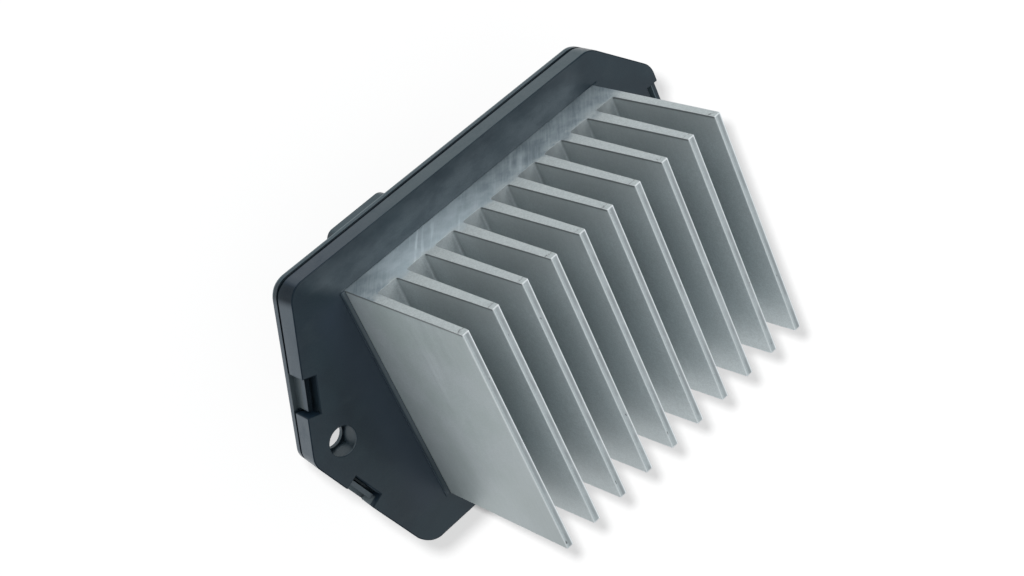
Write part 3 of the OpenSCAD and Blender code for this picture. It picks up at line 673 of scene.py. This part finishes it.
def part_of_way(value, start, length):
    """How much of a length, from a start, a value has covered: from 0 to 1."""
    return min(1, max(0, (value - start) / length))


def settle(place):
    """Small departures of the flange from the drawn outline, none over 0.6 mm. The lower near wall draws in
    below its front edge, and the upper one does so toward its lower end. The lower long edge stands out a
    little, its near corner is rounder, and the upper long edge runs in toward the far end."""
    x, y, z = place / MM
    wall = part_of_way(NEAR_FACING.dot((-x, abs(y))), NEAR_WALL - 2.6, SIDE_FADE)
    slope = PEAK_DRAFT + LOWER_DRAFT * part_of_way(-y, -PEAK_HALF, 2 * PEAK_HALF)
    slope += UPPER_DRAFT * part_of_way(y, PEAK_HALF, UPPER_RUN)
    pull = wall * slope * max(0, -z)
    turned = part_of_way(-y, 0, PEAK_HALF) - part_of_way(y, 0, PEAK_HALF)
    corner = CORNER_IN * part_of_way(CORNER_FACING.dot((-x, -y)), CORNER_WALL, CORNER_FADE)
    out = LOWER_SIDE_OUT * part_of_way(-y, SIDE - SIDE_FADE, SIDE_FADE)
    along = part_of_way(x, -LONG_EDGE / 2, LONG_EDGE)
    run_in = UPPER_FAR_IN * along - UPPER_NEAR_OUT * (1 - along)
    run_in *= part_of_way(y, SIDE - SIDE_FADE, UPPER_FADE)
    shift_x = NEAR_FACING.x * pull + CORNER_FACING.x * corner
    shift_y = NEAR_FACING.y * pull * turned + CORNER_FACING.y * corner - out - run_in
    return place + Vector((shift_x, shift_y, 0)) * MM


def merge_flat_faces(mesh, splits):
    """Cut the mesh at each x in splits, then make one face of each flat area between the cuts."""
    for x in splits:
        everything = mesh.verts[:] + mesh.edges[:] + mesh.faces[:]
        cut = bmesh.ops.bisect_plane(mesh, geom=everything, dist=1e-7,
                                     plane_co=(x * MM, 0, 0), plane_no=(1, 0, 0))
        for item in cut["geom_cut"]:
            if isinstance(item, bmesh.types.BMEdge):
                item.seam = True
    bmesh.ops.dissolve_limit(mesh, angle_limit=FLAT, verts=mesh.verts, edges=mesh.edges,
                             use_dissolve_boundaries=False, delimit={"NORMAL", "SEAM"})


def blend_normals(mesh):
    """Each corner's normal blends the faces there that lie within a limit of its own face, by their area."""
    around = [[] for vertex in mesh.vertices]
    for face in mesh.polygons:
        for vertex in face.vertices:
            around[vertex].append(face)
    corners = []
    for face in mesh.polygons:
        for vertex in face.vertices:
            alike = [f.normal * f.area for f in around[vertex] if f.normal.dot(face.normal) > SMOOTH_LIMIT]
            corners.append(sum(alike, Vector()).normalized() if alike else face.normal)
    mesh.normals_split_custom_set(corners)


def rounded(node, slot, width, weight, segments, splits, reshape=None):
    """A piece that stands for a CAD node, with rounded edges. weight gives each edge its share of width."""
    work = bmesh.new()
    work.from_mesh(nodes[node].data)
    bmesh.ops.remove_doubles(work, verts=work.verts, dist=1e-6)
    if reshape:
        for vertex in work.verts:
            vertex.co = reshape(vertex.co)
    merge_flat_faces(work, splits)
    layer = work.edges.layers.float.new("bevel_weight_edge")
    for face in work.faces:
        face.smooth = True
        face.material_index = 0
    for edge in work.edges:
        if len(edge.link_faces) == 2 and edge.calc_face_angle(0) > SHARP:
            edge[layer] = weight(edge) if edge.is_convex else 0.0
            edge.smooth = edge[layer] > 0
    mesh = bpy.data.meshes.new(node + "_rounded")
    work.to_mesh(mesh)
    work.free()
    mesh.materials.append(MATERIALS[slot])
    mesh.materials.append(EDGE_MATERIALS[slot])
    piece = bpy.data.objects.new(node + "_rounded", mesh)
    scene.collection.objects.link(piece)
    bevel = piece.modifiers.new("round", "BEVEL")
    bevel.limit_method = "WEIGHT"
    bevel.width = width
    bevel.segments = segments
    bevel.material = 1
    bevel.loop_slide = True
    finished = piece.evaluated_get(bpy.context.evaluated_depsgraph_get())
    piece.data = bpy.data.meshes.new_from_object(finished)
    piece.modifiers.clear()
    blend_normals(piece.data)
    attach(piece, "root")
    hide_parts(node)
    return piece


def middle(edge):
    """Middle of an edge, in millimetres."""
    return (edge.verts[0].co + edge.verts[1].co) / 2 / MM


def sink_edge(edge):
    """Fullest at the tips, less on the base, least along the ends of the fins."""
    height = middle(edge).z
    if height > TIPS_ABOVE:
        return TIP_SHARE
    if height < BASE_BELOW:
        return BASE_SHARE
    return FIN_SHARE


def in_hole(place):
    return math.hypot(abs(place.x) - HOLE_X, place.y) < HOLE_REACH


def outline_gap(place):
    """Distance from a place on the flange to the nearest of its outer walls."""
    corner = Vector((abs(place.x), abs(place.y)))
    to_end = FAR_END - corner.x
    if place.x < 0:
        to_end = NEAR_WALL - NEAR_FACING.dot(corner)
    return min(to_end, SIDE - corner.y, CUT_WALL - CUT_FACING.dot(corner))


def frame_edge(edge):
    """Most on the outer front edge, little in the hook notches and holes, none on edges that don't show."""
    place = middle(edge)
    if in_hole(place):
        return HOLE_SHARE if place.z > -1 else 0.0
    if WINDOW_NEAR < place.x < WINDOW_FAR and abs(place.y) < WINDOW_SIDE:
        return 0.0
    if abs(place.z) < FRONT_WITHIN:
        outward = sum((face.normal for face in edge.link_faces), Vector()).normalized().xy
        return OUTER_SHARE if outward.length > 0.3 and outward.dot(place.xy) > 0 else INNER_SHARE
    return INNER_SHARE if outline_gap(place) < WALLS_WITHIN else 0.0


def cover_edge(edge):
    return HOLE_SHARE if in_hole(middle(edge)) else OUTER_SHARE


heat_sink = rounded("heat_sink", "aluminium_block", SINK_ROUND, sink_edge, 2, SINK_SPLITS)
front_frame = rounded("front_frame", "black_plastic", PLASTIC_ROUND, frame_edge, 3, PLASTIC_SPLITS, settle)
rear_cover = rounded("rear_cover", "black_plastic", PLASTIC_ROUND, cover_edge, 3, PLASTIC_SPLITS, settle)

# Camera, fitted to the corners of the heat sink in the photograph

VIEW = Vector((0.40623, -0.52302, -0.74928))
RIGHT = Vector((0.69040, -0.36148, 0.62664))
DOWN = Vector((-0.59859, -0.77187, 0.21425))
EYE = Vector((-0.14138, 0.18504, 0.26351))
FOCAL_PIXELS = 2002.34
PICTURE_PIXELS = 1024
SENSOR_WIDTH = 36

camera_data = bpy.data.cameras.new("camera")
camera_data.sensor_width = SENSOR_WIDTH
camera_data.lens = FOCAL_PIXELS * SENSOR_WIDTH / PICTURE_PIXELS
camera_data.clip_start = 0.01
camera_data.clip_end = 50
camera = bpy.data.objects.new("camera", camera_data)
scene.collection.objects.link(camera)
camera_axes = Matrix((RIGHT, -DOWN, -VIEW)).transposed().to_4x4()
camera.matrix_world = Matrix.Translation(EYE) @ camera_axes
scene.camera = camera

# Floor, under the lowest point of the part

FLOOR_HALF = 4.0
FLOOR_TONE = 0.08
FLOOR_GLOW = 0.22
FLOOR_GLOW_SEEN = 0.28


def pale_floor(height):
    """Paler with distance, which evens out the light of the lamps beside the camera."""
    g = Surface("pale_floor")
    distance = g.add("ShaderNodeVectorMath", operation="DISTANCE")
    g.put(distance.inputs[0], g.add("ShaderNodeTexCoord").outputs["Object"])
    distance.inputs[1].default_value = EYE
    matte = g.add("ShaderNodeBsdfDiffuse")
    g.put(matte.inputs["Color"], g.times(distance.outputs["Value"], FLOOR_TONE / (EYE.z - height)))
    glow = g.add("ShaderNodeEmission")
    g.put(glow.inputs["Strength"], g.blend(g.seen(), FLOOR_GLOW, FLOOR_GLOW_SEEN))
    both = g.add("ShaderNodeAddShader")
    g.put(both.inputs[0], matte.outputs[0])
    g.put(both.inputs[1], glow.outputs[0])
    g.put(g.out.inputs["Surface"], both.outputs[0])
    return g.mat


floor_height = cad_box[0].z
floor_turns = ((-1, -1), (1, -1), (1, 1), (-1, 1))
floor_corners = [(i * FLOOR_HALF, j * FLOOR_HALF, floor_height) for i, j in floor_turns]
floor_mesh = bpy.data.meshes.new("floor")
floor_mesh.from_pydata(floor_corners, [], [(0, 1, 2, 3)])
floor_mesh.materials.append(pale_floor(floor_height))
floor = bpy.data.objects.new("floor", floor_mesh)
floor_set = bpy.data.collections.new("floor_set")
scene.collection.children.link(floor_set)
floor_set.objects.link(floor)
floor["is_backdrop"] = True

# Light

SKY = (0.96, 0.98, 1.0)
SKY_STRENGTH = 0.75
SKY_STRENGTH_SEEN = 1.0
SHADOW_LAMP_POWER = 172.0
SHADOW_SOFTNESS = 0.4
FIN_LAMP_OFF = 0.0125
FLANGE_LAMP_OFF = 0.036
KEY_PLACE = Vector((0.22, 0.30, 0.42))
KEY_TARGET = Vector((0, 0, 0.01))
KEY_SIZE = 0.25
KEY_POWER = 1.0

world = bpy.data.worlds.new("studio")
scene.world = world
world.use_nodes = True
sky = Graph(world.node_tree)
background = world.node_tree.nodes["Background"]
sky.put(background.inputs["Color"], SKY)
sky.put(background.inputs["Strength"], sky.blend(sky.seen(), SKY_STRENGTH, SKY_STRENGTH_SEEN))


def shadow_lamp(name, off, blockers):
    """A small lamp beside the camera that only lights the floor, so that a shadow falls close to the part."""
    data = bpy.data.lights.new(name, "POINT")
    data.shadow_soft_size = SHADOW_SOFTNESS * off
    data.energy = SHADOW_LAMP_POWER
    data.use_nodes = True
    g = Graph(data.node_tree)
    falloff = g.add("ShaderNodeLightFalloff")
    falloff.inputs["Strength"].default_value = 1.0
    g.put(data.node_tree.nodes["Emission"].inputs["Strength"], falloff.outputs["Constant"])
    lamp = bpy.data.objects.new(name, data)
    scene.collection.objects.link(lamp)
    lamp.location = EYE - off * (RIGHT + DOWN).normalized()
    blocker_set = bpy.data.collections.new(name + "_blockers")
    scene.collection.children.link(blocker_set)
    for blocker in blockers:
        blocker_set.objects.link(blocker)
    lamp.light_linking.receiver_collection = floor_set
    lamp.light_linking.blocker_collection = blocker_set


shadow_lamp("fin_lamp", FIN_LAMP_OFF, [heat_sink])
shadow_lamp("flange_lamp", FLANGE_LAMP_OFF, [front_frame, rear_cover])

part_set = bpy.data.collections.new("part_set")
scene.collection.children.link(part_set)
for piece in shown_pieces():
    part_set.objects.link(piece)

key_data = bpy.data.lights.new("key", "AREA")
key_data.shape = "RECTANGLE"
key_data.size = KEY_SIZE
key_data.size_y = KEY_SIZE
key_data.energy = KEY_POWER
key = bpy.data.objects.new("key", key_data)
scene.collection.objects.link(key)
key.location = KEY_PLACE
key.rotation_mode = "QUATERNION"
key.rotation_quaternion = (KEY_TARGET - KEY_PLACE).to_track_quat("-Z", "Y")
key.light_linking.receiver_collection = part_set
